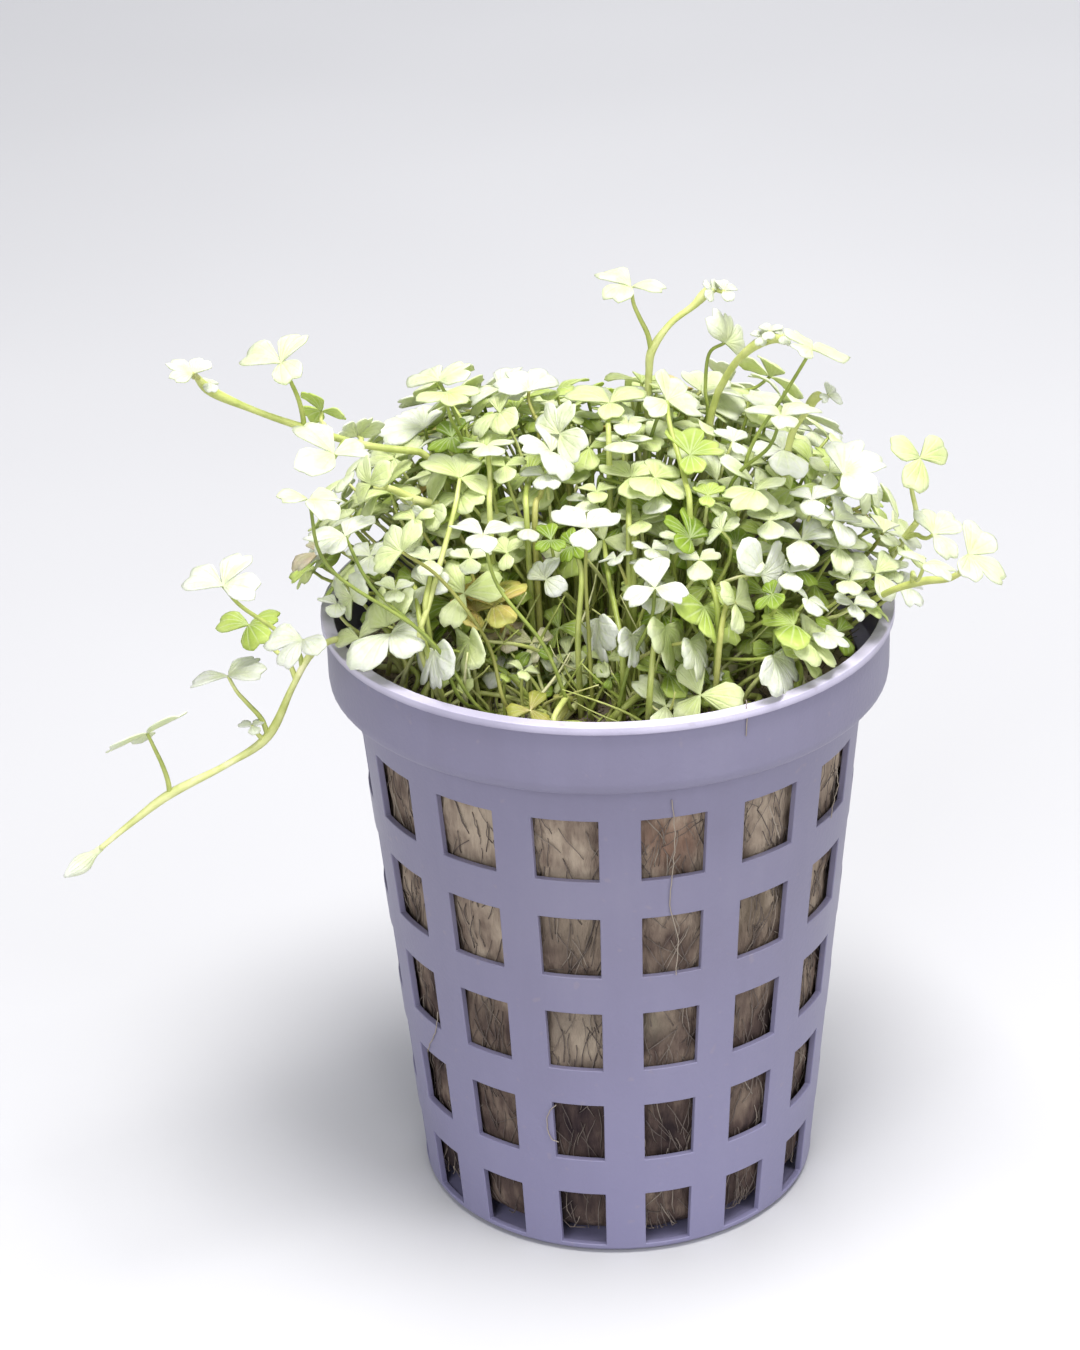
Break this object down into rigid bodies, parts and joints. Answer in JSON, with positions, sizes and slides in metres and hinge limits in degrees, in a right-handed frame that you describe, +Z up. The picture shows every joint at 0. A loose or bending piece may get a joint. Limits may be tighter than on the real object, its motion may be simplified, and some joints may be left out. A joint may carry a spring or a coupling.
{
  "type": "pennywort in a net pot",
  "caption": "Small creeping aquarium plant with three-lobed leaves on thin stalks, growing from a rockwool plug in a tapered plastic net pot with square holes.",
  "frame": {"origin": "centre of the pot's flat underside", "axes": "+Z up along the pot's axis, -Y towards the viewer of the picture, +X to that viewer's right"},
  "size_m": [0.0799, 0.05, 0.0843],
  "materials": {
    "pot_plastic": "satin moulded plastic, white with a cool tint",
    "rockwool": "rough brown-grey mineral fibre",
    "leaf": "soft, pale yellow-green, slightly translucent",
    "stem": "smooth olive green"
  },
  "bodies": {
    "root": {"leaf_back_01": "leaf", "leaf_back_02": "leaf", "leaf_back_03": "leaf", "leaf_back_04": "leaf", "leaf_back_05": "leaf", "leaf_back_06": "leaf", "leaf_crown_01": "leaf", "leaf_crown_02": "leaf", "leaf_crown_03": "leaf", "leaf_crown_04": "leaf", "leaf_crown_05": "leaf", "leaf_crown_06": "leaf", "leaf_crown_07": "leaf", "leaf_crown_08": "leaf", "leaf_crown_09": "leaf", "leaf_crown_10": "leaf", "leaf_crown_11": "leaf", "leaf_crown_12": "leaf", "leaf_crown_13": "leaf", "leaf_crown_14": "leaf", "leaf_crown_15": "leaf", "leaf_crown_16": "leaf", "leaf_far_left": "leaf", "leaf_far_right": "leaf", "leaf_high_left": "leaf", "leaf_high_left_green": "leaf", "leaf_left_cupped": "leaf", "leaf_left_large": "leaf", "leaf_left_pair": "leaf", "leaf_left_small": "leaf", "leaf_left_white": "leaf", "leaf_low_left": "leaf", "leaf_low_left_green": "leaf", "leaf_right_edge": "leaf", "leaf_right_high": "leaf", "leaf_right_middle": "leaf", "leaf_right_small": "leaf", "leaf_right_tall": "leaf", "leaf_right_white": "leaf", "leaf_rim_left": "leaf", "leaf_runner_first": "leaf", "leaf_runner_second": "leaf", "leaf_tallest": "leaf", "leaf_top_folded": "leaf", "leaf_top_right": "leaf", "net_pot": "pot_plastic", "rockwool_plug": "rockwool", "runner_high_left": "stem", "runner_low_left": "stem", "runner_middle_left": "stem", "runner_right_high": "stem", "runner_right_low": "stem", "runner_top_right": "stem", "stem_right_fork": "stem", "stem_tall_fork": "stem", "stem_thicket": "leaf"}
  },
  "joints": []
}
